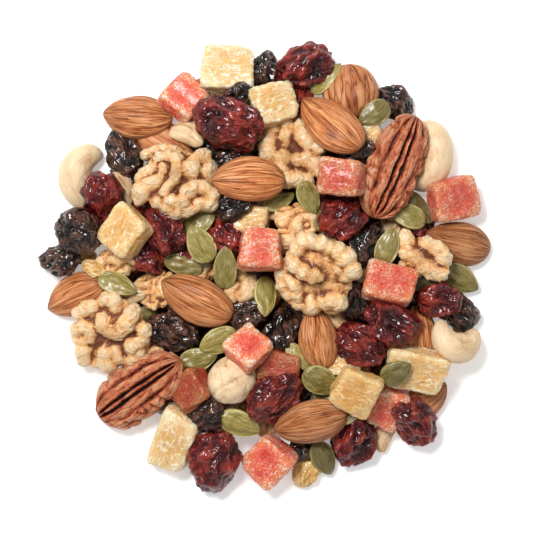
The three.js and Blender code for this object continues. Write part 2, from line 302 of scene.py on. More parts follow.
PRIMES = (73856093, 19349663, 83492791)
SEED_STEP = 2654435
STIR = 1274126177
GAIN = 1.7  # brings the peaks of the noise near 1
FINER, WEAKER = 2.03, 0.52  # each octave against the one before


def rows(*columns):
    """Columns of numbers put side by side."""
    return np.stack(columns, axis=1)


def directions(vectors):
    """Each vector at a length of 1."""
    return vectors / np.maximum(np.linalg.norm(vectors, axis=1, keepdims=True), 1e-6)


def near(value, middle, width):
    """1 where a value is at its middle, falling smoothly to 0 a few widths away."""
    return np.exp(-(((value - middle) / width) ** 2))


def rising(value, start, width):
    """0 up to a start, then rising evenly to 1 over a width."""
    return np.clip((value - start) / width, 0, 1)


def hashed(cell, seed):
    """A whole number below 65,536 for each row of whole numbers, the same on every run."""
    x, y, z = (cell[:, axis] * prime for axis, prime in enumerate(PRIMES))
    mixed = x ^ y ^ z ^ seed * SEED_STEP
    mixed = (mixed ^ (mixed >> 13)) * STIR & 0xFFFFFFFF
    return (mixed ^ (mixed >> 16)) & 0xFFFF


SLOPES = directions(np.random.default_rng(7).normal(size=(256, 3)))  # a power of 2 of them


def noise(points, seed=0):
    """Smooth noise from about -1 to 1 at each point, one bump to the unit of length."""
    cell = np.floor(points).astype(np.int64)
    inside = points - cell
    ease = inside**3 * (inside * (inside * 6 - 15) + 10)
    total = np.zeros(len(points))
    for corner in np.ndindex(2, 2, 2):
        corner = np.array(corner)
        slope = SLOPES[hashed(cell + corner, seed) & (len(SLOPES) - 1)]
        share = np.prod(np.where(corner == 1, ease, 1 - ease), axis=1)
        total += share * np.sum(slope * (inside - corner), axis=1)
    return total * GAIN


def layered(points, octaves, seed=0):
    """Noise with finer and weaker noise on top."""
    total = np.zeros(len(points))
    for octave in range(octaves):
        total += noise(points * FINER**octave, seed + 31 * octave) * WEAKER**octave
    return total


def wandered(points, scale, far, seed):
    """Each point pushed aside by slow noise, so that the lines of what is made there wind."""
    aside = rows(*(noise(points * scale, seed + n) for n in (3, 4, 5)))
    return points + far * aside


def creased(height, sharp):
    """0 in a narrow crease where a height passes 0, and near 1 on both sides."""
    return 1 - np.exp(-np.abs(height) * sharp)


def folds(points, sharp, seed=0):
    """Skin folds from 0 in narrow creases to 1 on broad rounded ridges."""
    return creased(noise(wandered(points, 0.9, 0.55, seed), seed), sharp)


def crumpled(points, seed):
    """Collapsed skin: rounded ridges near 1 with broad hollows between them, down to about -1."""
    height = noise(wandered(points, 0.8, 0.5, seed), seed)
    return 1 - 2.4 * np.sqrt(height**2 + 0.004)


# ---------------------------------------------------------------- forms
# Each form takes points of the unit sphere or cube, the piece's length, width and thickness in
# millimetres and its random numbers. It returns the shaped points, and for each point the
# relief, from 0 in creases to 1 on ridges, and the grain, a place in the noise that the streaks
# of the material are taken from. On a sphere t, c and s are as the function around gives them.


def somewhere(dice):
    """A random place in the noise, so that no two pieces are alike."""
    return dice.uniform(-50, 50, 3)


def around(unit):
    """Share along the length, and cosine and sine of the turn about it, of unit sphere points."""
    ring = np.maximum(np.sqrt(np.maximum(1 - unit[:, 0] ** 2, 0)), 1e-6)
    return unit[:, 0], unit[:, 1] / ring, unit[:, 2] / ring


def teardrop(t, blunt, point):
    """Half width along the length, 1 at its widest: blunt at -1 and pointed at +1."""
    width = np.maximum(1 + t, 0) ** blunt * np.maximum(1 - t, 0) ** point
    widest = (blunt - point) / (blunt + point)
    return width / ((1 + widest) ** blunt * (1 - widest) ** point)


def almond(unit, long, wide, thick, dice, depth=0.2, ribs=7.2):
    """A kernel with a blunt and a pointed end, and ribs along it of some depth and closeness."""
    t, c, s = around(unit)
    shift = somewhere(dice)
    broad = teardrop(t, 0.5, dice.uniform(0.58, 0.68))
    broad = broad * (1 - 0.16 * rising(t, 0.72, 0.28))
    grain = rows(c * ribs, s * ribs, t * 0.75) + shift
    streak = noise(grain, 1) + 0.6 * noise(grain * (2.1, 2.1, 2.2), 2)
    # ridge also becomes the relief, from which the skin is painted darker in the grooves and
    # lighter on the ribs: painted shade and painted highlight.
    ridge = 0.5 + 0.5 * np.clip(streak * 1.15, -1, 1)
    swell = 1 + 0.04 * noise(unit * 1.3 + shift, 3)
    lift = depth * (ridge - 0.5) * np.minimum(1, broad * 1.6)
    x = t * long / 2
    y = c * (broad * swell * wide / 2 + lift)
    z = s * (broad**0.9 * swell * thick / 2 + lift)
    bend = dice.uniform(-0.05, 0.05)
    y += bend * wide * (t**2 - 0.4)
    return rows(x, y, z), ridge, grain


def plump(unit, long, wide, thick, dice):
    """A nearly round, roughly ribbed nut, made from an almond filled out to a ball."""
    points, ridge, grain = almond(unit, long, wide, thick, dice, 1.3, 3.0)
    t = unit[:, 0]
    full = np.maximum(1 - t**2, 0) ** 0.5 / np.maximum(teardrop(t, 0.5, 0.63), 1e-3)
    pinch = 1 - 0.25 * rising(t, 0.6, 0.4) ** 2
    points[:, 0] *= 1 - 0.06 * np.clip(t - 0.7, 0, 1)
    points[:, 1:] *= (np.clip(full, 0, 1.35) * pinch)[:, None]
    return points, ridge, grain


NOTCH = (0.62, -0.3, 0.72)


def hazelnut(unit, long, wide, thick, dice):
    """A round blanched nut with two seams and a notch."""
    shift = somewhere(dice)
    size = np.array([long, wide, thick]) / 2
    turn = np.arctan2(unit[:, 1], unit[:, 0])
    height = unit[:, 2]
    seam = np.sin(0.5 * (turn - 1.1 * height - 0.7))
    groove = near(seam, 0, 0.07) * np.clip(1.15 - height**2, 0, 1)
    other = near(unit[:, 1] + 0.25 * unit[:, 0], -0.2, 0.07)
    groove = np.maximum(groove, 0.6 * other * (height > -0.2))
    notch = np.exp(-np.sum((unit - NOTCH) ** 2, axis=1) / 0.035)
    bumps = layered(unit * 2.4 + shift, 3, 5)
    scale = 1 + 0.035 * bumps - 0.07 * groove - 0.15 * notch
    relief = np.clip(0.75 + 0.25 * bumps - 0.45 * groove - 1.2 * notch, 0, 1)
    return unit * size * scale[:, None], relief, unit * 4 + shift


def lobed(unit, long, wide, thick, dice):
    """A shelled walnut piece, whose lobes are already in the starting shape."""
    shift = somewhere(dice)
    size = np.array([long, wide, thick]) / np.ptp(unit, axis=0)
    body = (unit - (unit.max(axis=0) + unit.min(axis=0)) / 2) * size
    # The grain runs out from the middle, so that its streaks do too.
    away = np.hypot(body[:, 0], body[:, 1])[:, None] + 0.5
    rays = np.concatenate([body[:, :2] / away * 4.2, 0.13 * away], axis=1) + shift
    rise = 0.7 * layered(body * 0.34 + shift, 2, 17) + 0.2 * layered(body * 1.1 + shift, 2, 18)
    rise += 0.3 * noise(rays, 19) + 0.16 * noise(rays * (2.2, 2.2, 1.5), 20)
    return body + directions(body) * rise[:, None], None, rays


def nib(unit, long, wide, thick, dice):
    """A broken bit of walnut: a lump with a few broad lobes."""
    shift = somewhere(dice)
    size = np.array([long, wide, thick]) / 2
    body = unit * size
    lobe = folds(body * 0.15 + shift, 5.0, 14)
    small = folds(body * 0.36 + shift, 4.0, 15)
    lump = 1 + 0.16 * layered(unit * 1.1 + shift, 2, 21)
    rise = 2.0 * (lobe - 0.62) + 0.35 * (small - 0.6) + 0.15 * layered(body + shift, 2, 16)
    normal = directions(unit / size)
    # relief is low in the creases between lobes, where the walnut skin is painted darker as shade.
    relief = np.clip(0.02 + 0.55 * lobe + 0.12 * small, 0, 1)
    return body * lump[:, None] + normal * rise[:, None], relief, body * 0.35 + shift


def pecan(unit, long, wide, thick, dice):
    """Half a pecan: two long ridges beside a thin one, and rims cut into lobes outside them."""
    t, c, s = around(unit)
    shift = somewhere(dice)
    top = np.clip(s * 1.6 + 0.3, 0, 1)
    broad = np.maximum(1 - np.abs(t) ** 3.0, 0) ** 0.58 * (1 - 0.07 * t)
    side = np.sign(c)
    sway = noise(rows(t * 1.7, side * 3.1, t * 0) + shift, 22)
    v = np.abs(c) + 0.05 * sway
    ends = rising(1 - np.abs(t), 0, 0.16)
    middle = near(v, 0.13, 0.06) * ends
    outer = near(v, 0.6, 0.07) * ends
    rim = rising(v, 0.6, 0.12)
    # Creases cross the rims every few millimetres, and run slanting over the sides.
    across = rows(t * long * 0.11 - 0.8 * v, side * 5 + v, s * 0.9) + shift
    lobe = creased(noise(across, 23), 7)
    along = rows(t * 2.3, c * 4.2, s * 3.4) + shift
    furrow = creased(noise(along, 24), 5)
    dent = noise(rows(t * 3.6, c * 1.8, s * 1.4) + shift, 26)
    patches = noise(rows(t * 2.4, side * 4.1, t * 0) + shift, 27)
    broken = np.clip(0.75 + 1.1 * patches, 0, 1)
    mm = rows(t * long, c * wide, s * thick) / 2
    fine = layered(mm * 0.9 + shift, 3, 25)
    rise = (
        -2.6 * middle * top
        - 1.6 * outer * broken
        + 1.5 * (lobe - 0.62) * rim
        + 0.4 * (furrow - 0.6)
        + 0.8 * dent
        + 0.2 * fine
        - 0.35 * (v < 0.07) * top
    )
    # relief is low in the two grooves, where the skin is painted nearly black as shade, and high on
    # the rim lobes, where it is painted lighter, partly as highlight.
    relief = 0.72 - 0.85 * middle * top - 0.5 * outer * broken + 0.4 * (lobe - 0.62) * rim
    relief = np.clip(relief + 0.3 * (furrow - 0.6) + 0.1 * fine, 0, 1)
    y = c * (broad * wide / 2 + rise * (0.35 + 0.5 * rim))
    z = s * broad**0.8 * thick / 2 + rise * np.clip(s, -0.3, 1) * np.minimum(1, broad * 1.5)
    return rows(t * long / 2, y, z), relief, along


def cashew(unit, long, wide, thick, dice):
    """A kidney-shaped kernel that bends round a hollow open to +X."""
    t, c, s = around(unit)
    shift = somewhere(dice)
    reach = dice.uniform(1.75, 1.95)
    fat = 0.23 * long * np.maximum(1 - np.abs(t) ** 3.6, 0) ** 0.5
    fat = fat * (1 + 0.13 * np.cos(3.1 * t) - 0.1 * t)
    spine = 0.3 * long
    turn = math.pi - reach * t
    seam = near(s, 0.12, 0.1) * (c < 0.35)
    inner = near(c, -0.95, 0.18) * (1 - t**2)
    dents = layered(unit * 1.7 + shift, 3, 31)
    out = spine + fat * c * (1 + 0.05 * dents)
    x = out * np.cos(turn) + spine * 0.35
    y = out * np.sin(turn)
    z = fat * s * (thick / (0.49 * long)) * (1 + 0.05 * dents) - 0.14 * seam
    # relief is lower on the inner side of the bend and lowest in its hollow, which the flesh paints
    # darker as shade; it is lower along the seam too.
    relief = np.clip(0.66 + 0.25 * dents + 0.2 * c - 0.4 * seam - 0.5 * inner, 0, 1)
    return rows(x, y * wide / (0.86 * long), z), relief, unit * 3 + shift


def splinter(unit, long, wide, thick, dice):
    """A bent sliver of a nut."""
    points, ridge, grain = almond(unit, long, wide, thick, dice, 0.18, 3.0)
    points[:, 1] += 0.16 * wide * np.cos(2.2 * unit[:, 0])
    return points, ridge, grain


def block(unit, long, wide, thick, dice, stringy):
    """A cube cut from a dried fruit, its corners dulled and its faces sunk or swollen."""
    shift = somewhere(dice)
    dull = np.sum(np.abs(unit) ** 7, axis=1) ** (1 / 7)
    shape = unit / dull[:, None]
    for _ in range(2):
        cut = dice.normal(size=3)
        cut /= np.linalg.norm(cut)
        past = np.maximum(shape @ cut - dice.uniform(1.1, 1.4), 0)
        shape -= 0.9 * past[:, None] * cut
    edge = rising(np.sum(shape**2, axis=1), 1.25, 0.75)
    skew = dice.uniform(-0.11, 0.11, 4)
    x = shape[:, 0] * (1 + skew[0] * shape[:, 1] + skew[1] * shape[:, 2])
    y = shape[:, 1] * (1 + skew[2] * shape[:, 0] + skew[3] * shape[:, 2])
    z = shape[:, 2] * (1 + 0.5 * skew[0] * shape[:, 0])
    points = rows(x * long, y * wide, z * thick) / 2
    slow = layered(unit * 0.9 + shift, 2, 41)
    grain = points * (0.36, 0.85, 0.85) + shift
    strings = noise(grain, 42) + 0.5 * noise(grain * 2.1, 43)
    sugar = noise(points * 2.1 + shift, 44)
    lift = 0.55 * slow + stringy * strings + 0.16 * sugar + 0.15 * edge
    # relief rises along the edges, where the flesh is painted lighter as light shining through the
    # thin edges: painted light.
    relief = np.clip(0.25 + 0.7 * edge + 0.16 * sugar, 0, 1)
    return points + directions(shape) * lift[:, None], relief, grain


def berry(unit, long, wide, thick, dice, scale, depth, fine, flat):
    """A shrivelled berry, with smooth skin folds that run mostly along it.

    scale is how close the folds lie, depth how high they are, fine how strong the small ones
    among them are, and flat how much of its lower half is left.
    """
    shift = somewhere(dice)
    size = np.array([long, wide, thick]) / 2
    body = unit * size
    along = body * (0.5, 1.0, 1.0)
    broad = crumpled(along * scale + shift, 51)
    small = crumpled(along * scale * 2.3 + shift, 52)
    tiny = crumpled(body * (0.7, 1.0, 1.0) * scale * 4.4 + shift, 57)
    dent = layered(unit * 1.05 + shift, 2, 53)
    rise = depth * (0.5 * broad + fine * (0.34 * small + 0.17 * tiny) - 0.2) + 0.11 * wide * dent
    # relief is low in the hollows between folds, which the skin paints in its deep colour as shade,
    # and high on the ridges.
    relief = np.clip(0.42 + 0.3 * broad + fine * (0.26 * small + 0.14 * tiny), 0, 1)
    normal = directions(unit / size)
    body[:, 2] = np.where(body[:, 2] < 0, body[:, 2] * flat, body[:, 2])
    return body + normal * rise[:, None], relief, along * 0.5 + shift


CRANBERRY = {"scale": 0.17, "depth": 2.2, "fine": 0.8, "flat": 0.8}
RAISIN = {"scale": 0.25, "depth": 1.3, "fine": 1.15, "flat": 0.85}
GOLDEN = {"scale": 0.2, "depth": 0.55, "fine": 0.6, "flat": 0.85}


def seed(unit, long, wide, thick, dice):
    """A flat pointed seed with a raised rim, a little warped."""
    t, c, s = around(unit)
    shift = somewhere(dice)
    broad = teardrop(t, 0.5, dice.uniform(0.66, 0.78))
    edge = np.abs(c)
    flat = np.sign(s) * np.abs(s) ** 0.85
    rim = near(edge, 0.93, 0.055)
    grain = rows(t * 1.3, c * 3.4, s * 2) + shift
    wave = layered(rows(t * 1.6, c * 1.3, s) + shift, 2, 61)
    z = flat * (broad**0.7 * thick / 2 * (1 + 0.15 * wave) + 0.05)
    z += np.sign(s) * (0.2 * rim * np.minimum(1, broad * 2))
    z += dice.uniform(-0.9, 0.9) * (t**2 - 0.4) + 0.35 * wave
    y = c * broad * wide / 2
    return rows(t * long / 2, y, z), np.clip(rim + 0.1 * wave, 0, 1), grain


# For each kind: its form, its thickness against its width, and what a piece that shows and a
# hidden one start as, with how finely that is cut. No large pieces of walnut are hidden.
BUILD = {
    "almond": (almond, 0.56, ("globe", 112, 44), ("globe", 36, 18)),
    "plump": (plump, 0.86, ("globe", 112, 44), None),
    "hazelnut": (hazelnut, 0.9, ("ball", 5), None),
    "curled_walnut": (lobed, 0.48, ("lobes", "curled"), None),
    "ringed_walnut": (lobed, 0.48, ("lobes", "ringed"), None),
    "notched_walnut": (lobed, 0.48, ("lobes", "notched"), None),
    "walnut_piece": (lobed, 0.5, ("lobes", "piece"), None),
    "walnut_curl": (lobed, 0.55, ("lobes", "curl"), None),
    "nib": (nib, 0.62, ("ball", 5), ("ball", 4)),
    "pecan": (pecan, 0.56, ("globe", 160, 110), None),
    "cashew": (cashew, 0.56, ("globe", 48, 96), ("globe", 20, 32)),
    "splinter": (splinter, 0.62, ("globe", 48, 40), None),
    "papaya": (partial(block, stringy=0.16), 0.78, ("block", 22), ("block", 8)),
    "pineapple": (partial(block, stringy=0.34), 0.74, ("block", 22), ("block", 8)),
    "golden": (partial(berry, **GOLDEN), 0.66, ("ball", 5), None),
    "cranberry": (partial(berry, **CRANBERRY), 0.7, ("ball", 5), ("ball", 4)),
    "raisin": (partial(berry, **RAISIN), 0.72, ("ball", 5), ("ball", 4)),
    "seed": (seed, 0.3, ("globe", 64, 30), ("globe", 32, 16)),
}


# ---------------------------------------------------------------- starting shapes

BALLS_PER_POINT = 5  # of a lobe's path
BALL_GROWTH = 1.18  # what the joining and smoothing of the balls takes off again
VOXEL = 0.42
ROUNDS = 5  # of smoothing
SPREADING = 26  # steps over which a vertex is compared with its surroundings


def mesh_of(bm, name):
    """A new mesh with a bmesh's shape."""
    mesh = bpy.data.meshes.new(name)
    bm.to_mesh(mesh)
    bm.free()
    return mesh


def points_of(mesh):
    """A mesh's vertices as rows of numbers."""
    points = np.empty(len(mesh.vertices) * 3)
    mesh.vertices.foreach_get("co", points)
    return points.reshape(-1, 3)


@cache
def start_mesh(shape):
    """A unit sphere with its poles on X, a unit ball, a finely cut cube or a walnut's lobes."""
    name, *fineness = shape
    if name == "lobes":
        return lobed_mesh(LOBES[fineness[0]])
    bm = bmesh.new()
    if name == "globe":
        lie_down = Matrix.Rotation(math.pi / 2, 4, "Y")
        bmesh.ops.create_uvsphere(
            bm, u_segments=fineness[0], v_segments=fineness[1], radius=1, matrix=lie_down
        )
    elif name == "ball":
        bmesh.ops.create_icosphere(bm, subdivisions=fineness[0], radius=1)
    else:
        bmesh.ops.create_cube(bm, size=2)
        bmesh.ops.subdivide_edges(bm, edges=bm.edges, cuts=fineness[0], use_grid_fill=True)
    return mesh_of(bm, "start")


def lobed_mesh(lobes):
    """Strings of balls on a flat body, run together into one smooth form, in millimetres."""
    bm = bmesh.new()
    every = np.concatenate([np.array(run).reshape(-1, 2) for _, _, *run in lobes])
    middle = (every.max(axis=0) + every.min(axis=0)) / 2
    half = np.ptp(every, axis=0) / 2
    body = Matrix.Translation((*middle, -0.4)) @ Matrix.Diagonal((*half, 3.4, 1))
    bmesh.ops.create_icosphere(bm, subdivisions=4, radius=1, matrix=body)
    for radius, height, *run in lobes:
        path = np.array(run).reshape(-1, 2)
        last = len(path) - 1
        for at in np.linspace(0, last, BALLS_PER_POINT * len(path)):
            east, north = (np.interp(at, range(len(path)), path[:, axis]) for axis in (0, 1))
            # A lobe narrows at its ends and swells here and there, and lies lower further out.
            narrow = 1 - 0.16 * abs(2 * at / last - 1) ** 3
            swell = 1 + 0.17 * math.sin(5.2 * at + east)
            fall = 0.012 * (east**2 + north**2)
            spot = Matrix.Translation((east, north, 0.8 * height - fall))
            size = BALL_GROWTH * radius * narrow * swell
            bmesh.ops.create_icosphere(bm, subdivisions=2, radius=size, matrix=spot)
    holder = bpy.data.objects.new("lobes", mesh_of(bm, "lobes"))
    bpy.context.scene.collection.objects.link(holder)
    remesh = holder.modifiers.new("join", "REMESH")
    remesh.mode = "VOXEL"
    remesh.voxel_size = VOXEL
    graph = bpy.context.evaluated_depsgraph_get()
    mesh = bpy.data.meshes.new_from_object(holder.evaluated_get(graph))
    bpy.data.objects.remove(holder)
    bm = bmesh.new()
    bm.from_mesh(mesh)
    for _ in range(ROUNDS):
        bmesh.ops.smooth_vert(
            bm, verts=bm.verts, factor=0.5, use_axis_x=True, use_axis_y=True, use_axis_z=True
        )
    bm.to_mesh(mesh)
    bm.free()
    return mesh


def bulge(mesh):
    """How far each vertex stands out from its surroundings: 0 in creases, 1 on lobes."""
    points = points_of(mesh)
    edges = np.empty(len(mesh.edges) * 2, dtype=np.int32)
    mesh.edges.foreach_get("vertices", edges)
    edges = edges.reshape(-1, 2)
    ends = np.concatenate([edges[:, 0], edges[:, 1]])
    others = np.concatenate([edges[:, 1], edges[:, 0]])
    degree = np.bincount(ends, minlength=len(points))[:, None]
    smooth = points.copy()
    for _ in range(SPREADING):
        sums = [np.bincount(ends, column[others], len(points)) for column in smooth.T]
        smooth = rows(*sums) / degree
    normals = np.empty(len(points) * 3)
    mesh.vertices.foreach_get("normal", normals)
    out = np.sum((points - smooth) * normals.reshape(-1, 3), axis=1)
    # The middle of a walnut is in shadow between its lobes.
    heart = np.exp(-(np.sum((points[:, :2] - points[:, :2].mean(axis=0)) ** 2, axis=1)) / 40)
    # The walnut skin paints low values darker: painted shade in the creases.
    return np.clip(0.42 + 0.85 * out - 0.22 * heart, 0, 1)


# ---------------------------------------------------------------- laying the heap
# Lengths are in millimetres.

CELL = 1.0  # the ground's height is known at points this far apart
REACH = 92  # from the heap's middle out to here
SPAN = int(2 * REACH / CELL) + 1
LEANS = [math.radians(angle) for angle in (-22, -14, -7, 0, 7, 14, 22)]
LEAN_COST = 1.2  # how much lower a piece has to lie for it to lean by a radian
TRIED = 900  # a piece's points that are tried at each lean
UNDERSIDE = 0.3  # a piece's points lower than this share of its thickness may touch the ground
TOUCHING = 0.985  # the share of those that stay above the ground
NEARBY = 0.8  # points this close to the ones that touch hold the piece up too
YIELD = 0.3  # the further share of a piece that sinks in where it is held on one side only
SPOTS = 60  # places that are tried for each hidden piece
Laid = namedtuple("Laid", "shape points relief grain shade")


def cells(points):
    """The ground cell under each point."""
    at = np.clip(np.rint((points[:, :2] + REACH) / CELL), 0, SPAN - 1).astype(np.int64)
    return at[:, 0] * SPAN + at[:, 1]


def dome(share):
    """The height of the bed of crumbs, from 1 in its middle to 0 at its edge."""
    return (1 - np.minimum(1, share) ** 2.6) ** 0.8


def mound(radius, height):
    """The ground with only the bed of crumbs on the table."""
    line = np.arange(SPAN) * CELL - REACH
    east, north = np.meshgrid(line, line, indexing="ij")
    return (height * dome(np.hypot(east, north) / radius)).ravel()


def lay(ground, piece, form, shape, thick, settle, dice):
    """Forms a piece, lays it on the ground as low as it goes, and raises the ground to its top."""
    start = start_mesh(shape)
    points, relief, grain = form(points_of(start), piece.long, piece.wide, thick, dice)
    if relief is None:
        relief = bulge(start)
    few = points[dice.permutation(len(points))[:TRIED]]
    place = np.array((piece.east, piece.north, 0))
    turn = Matrix.Rotation(math.radians(piece.turn), 3, "Z")
    least = math.inf
    for rock in LEANS:
        for pitch in LEANS:
            matrix = np.array(turn @ Euler((rock, pitch, 0)).to_matrix())
            turned = few @ matrix.T + place
            low = turned[turned[:, 2] < UNDERSIDE * thick]
            rise = np.quantile(ground[cells(low)] - low[:, 2], TOUCHING)
            cost = rise + LEAN_COST * (rock**2 + pitch**2)
            if cost < least:
                least, best = cost, matrix
    turned = points @ best.T + place
    gaps = ground[cells(turned)] - turned[:, 2]
    rise = np.quantile(gaps, 1 - settle)
    # A piece that is held up on one side only sinks further, in among the pieces beside it.
    held = turned[gaps > rise - NEARBY, :2].mean(axis=0) - place[:2]
    lopsided = min(1, 2 * np.linalg.norm(held) / piece.wide)
    rise = max(np.quantile(gaps, 1 - settle - YIELD * lopsided**2), -turned[:, 2].min())
    turned[:, 2] += rise
    np.maximum.at(ground, cells(turned), turned[:, 2])
    tone = dice.uniform(0.45, 1) if piece.tone is None else piece.tone
    return Laid(shape, turned, relief, grain, np.full(len(turned), tone))


def hidden_pieces(reach, dice):
    """Pieces spread over the inside of the heap, each as far from the others as it finds room."""
    kinds = [kind for kind, (count, _, _) in HIDDEN.items() for _ in range(count)]
    dice.shuffle(kinds)
    spots = []
    for kind in kinds:
        _, long, wide = HIDDEN[kind]
        tries = dice.uniform(-reach, reach, (SPOTS, 2))
        tries = tries[np.hypot(tries[:, 0], tries[:, 1]) < reach]
        if spots:
            apart = np.linalg.norm(tries[:, None] - np.array(spots)[None], axis=2).min(axis=1)
            spot = tries[np.argmax(apart)]
        else:
            spot = tries[0]
        spots.append(tuple(spot))
        size = dice.uniform(0.9, 1.1)
        yield Piece(kind, *spot, dice.uniform(0, 360), long * size, wide * size, 0)


def pour(settings):
    """Lays every piece, hidden ones first, and gives them by kind."""
    ground = mound(settings.core_radius / MM, settings.core_height / MM)
    dice = np.random.default_rng(settings.seed)
    heap = {kind: [] for kind in BUILD}
    for piece in hidden_pieces(settings.hidden_reach / MM, dice):
        form, proportion, _, shape = BUILD[piece.kind]
        thick = proportion * piece.wide
        laid = lay(ground, piece, form, shape, thick, settings.settle, dice)
        heap[piece.kind].append(laid)
    pieces = [Piece(kind, *row) for kind, table in LAID.items() for row in table]
    for piece in sorted(pieces, key=lambda piece: piece.order):
        form, proportion, shape, _ = BUILD[piece.kind]
        thick = proportion * min(piece.wide, 0.8 * piece.long)
        # Each has its own dice, so that moving one piece leaves the shapes of the others alone.
        place = [int(along * 10 + 1000) for along in (piece.east, piece.north)]
        own = np.random.default_rng([settings.seed, *place])
        laid = lay(ground, piece, form, shape, thick, settings.settle, own)
        heap[piece.kind].append(laid)
    return heap


HEAP = {}


def make_piece(name, mesh, material):
    """Puts a finished mesh of closed forms into the scene as a piece of the heap."""
    bm = bmesh.new()
    bm.from_mesh(mesh)
    bmesh.ops.recalc_face_normals(bm, faces=bm.faces)
    bm.to_mesh(mesh)
    bm.free()
    mesh.shade_smooth()
    mesh.materials.append(material)
    piece = bpy.data.objects.new(name, mesh)
    bpy.context.scene.collection.objects.link(piece)
    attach(piece, "root")
    return piece


def joined(name, kinds, material):
    """All laid pieces of some kinds as one piece, with their relief, grain and shade."""
    laid = [piece for kind in kinds for piece in HEAP.get(kind, [])]
    if not laid:
        raise RuntimeError(f"lay the heap before making its {name}")
    bm = bmesh.new()
    for piece in laid:
        bm.from_mesh(start_mesh(piece.shape))
    mesh = mesh_of(bm, name)
    mesh.vertices.foreach_set("co", (np.concatenate([p.points for p in laid]) * MM).ravel())
    for attribute, kind, field in (
        ("relief", "FLOAT", "value"),
        ("shade", "FLOAT", "value"),
        ("grain", "FLOAT_VECTOR", "vector"),
    ):
        values = np.concatenate([getattr(piece, attribute) for piece in laid])
        layer = mesh.attributes.new(attribute, kind, "POINT")
        layer.data.foreach_set(field, values.astype(np.float32).ravel())
    make_piece(name, mesh, material)


# ---------------------------------------------------------------- materials
# Scales of noise in place are bumps to the metre, those in grain are bumps to a unit of grain,
# and depths are in metres.


class Value:
    """A number's socket in a shader, on which Python's own arithmetic adds Math nodes."""

    def __init__(self, shader, socket):
        self.shader = shader
        self.socket = socket

    def __add__(self, other):
        return self.shader.math("ADD", self, other)

    def __sub__(self, other):
        return self.shader.math("SUBTRACT", self, other)

    def __rsub__(self, other):
        return self.shader.math("SUBTRACT", other, self)

    def __mul__(self, other):
        return self.shader.math("MULTIPLY", self, other)

    __radd__ = __add__
    __rmul__ = __mul__


class Shader:
    """A material under construction, whose Principled shader shows what is linked to it."""

    def __init__(self, name):
        self.material = bpy.data.materials.new(name)
        self.material.use_nodes = True
        self.tree = self.material.node_tree
        self.surface = self.tree.nodes["Principled BSDF"]

    @cached_property
    def place(self):
        """Object coordinates, in metres."""
        return self.node("ShaderNodeTexCoord").outputs["Object"]

    @cached_property
    def grain(self):
        """Where a point lies in the grain of its own piece."""
        return self.attribute("grain").outputs["Vector"]

    @cached_property
    def relief(self):
        """From 0 in a piece's creases to 1 on its ridges."""
        return Value(self, self.attribute("relief").outputs["Fac"])

    @cached_property
    def shade(self):
        """How light a whole piece is, from 0 to 1."""
        return Value(self, self.attribute("shade").outputs["Fac"])

    def node(self, kind, settings=None, sockets=None):
        """Adds a node: its settings first, then the value or link of each socket."""
        made = self.tree.nodes.new(kind)
        for name, value in (settings or {}).items():
            setattr(made, name, value)
        for name, value in (sockets or {}).items():
            self.feed(made.inputs[name], value)
        return made

    def feed(self, socket, value):
        """Links a socket, or sets it to a number or a colour."""
        value = value.socket if isinstance(value, Value) else value
        if isinstance(value, bpy.types.NodeSocket):
            self.tree.links.new(value, socket)
        elif socket.type == "RGBA" and len(value) == 3:
            socket.default_value = (*value, 1)
        else:
            socket.default_value = value

    def attribute(self, name):
        return self.node("ShaderNodeAttribute", {"attribute_name": name})

    def math(self, operation, *values):
        made = self.node("ShaderNodeMath", {"operation": operation}, dict(enumerate(values)))
        return Value(self, made.outputs[0])

    def clamp(self, value):
        made = self.node("ShaderNodeClamp", None, {"Value": value})
        return Value(self, made.outputs[0])

    def noise(self, vector, scale, detail=3.0, rough=0.6):
        sockets = {"Vector": vector, "Scale": scale, "Detail": detail, "Roughness": rough}
        made = self.node("ShaderNodeTexNoise", None, sockets)
        return Value(self, made.outputs["Fac"])

    def veins(self, vector, scale, detail, wide):
        """Thin lines of 1 that wander over a field of 0."""
        away = self.math("ABSOLUTE", self.noise(vector, scale, detail, 0.5) - 0.5)
        return 1 - self.clamp(away * (1 / wide))

    def ramp(self, value, *stops):
        """A colour for each value: stops are pairs of place and colour."""
        made = self.node("ShaderNodeValToRGB")
        line = made.color_ramp
        while len(line.elements) < len(stops):
            line.elements.new(0.5)
        for element, (at, colour) in zip(line.elements, stops):
            element.position = at
            element.color = (*colour, 1)
        self.feed(made.inputs["Fac"], value)
        return made.outputs["Color"]

    def mix(self, factor, first, second, blend="MIX"):
        settings = {"data_type": "RGBA", "blend_type": blend}
        made = self.node("ShaderNodeMix", settings, {0: factor, 6: first, 7: second})
        return made.outputs[2]

    def shaded(self, colour, dark, light):
        """The colour times a tint that goes from dark to light pieces."""
        spread = self.ramp(self.shade, (0.0, dark), (1.0, light))
        return self.mix(1.0, colour, spread, "MULTIPLY")

    def bump(self, height, depth, strength=1.0):
        sockets = {"Height": height, "Distance": depth, "Strength": strength}
        made = self.node("ShaderNodeBump", None, sockets)
        self.feed(self.surface.inputs["Normal"], made.outputs["Normal"])

    def scatter(self, weight, reach, scale):
        """Light spreads under the surface: how much, and how far for each colour."""
        self.surface.inputs["Subsurface Weight"].default_value = weight
        self.surface.inputs["Subsurface Radius"].default_value = reach
        self.surface.inputs["Subsurface Scale"].default_value = scale

    def coat(self, weight, rough):
        """A thin clear gloss."""
        self.surface.inputs["Coat Weight"].default_value = weight
        self.surface.inputs["Coat Roughness"].default_value = rough

    def finish(self, colour, rough, specular=0.5):
        self.feed(self.surface.inputs["Base Color"], colour)
        self.feed(self.surface.inputs["Roughness"], rough)
        self.surface.inputs["Specular IOR Level"].default_value = specular
        return self.material


def grey(value):
    """The same for red, green and blue."""
    return (value,) * 3


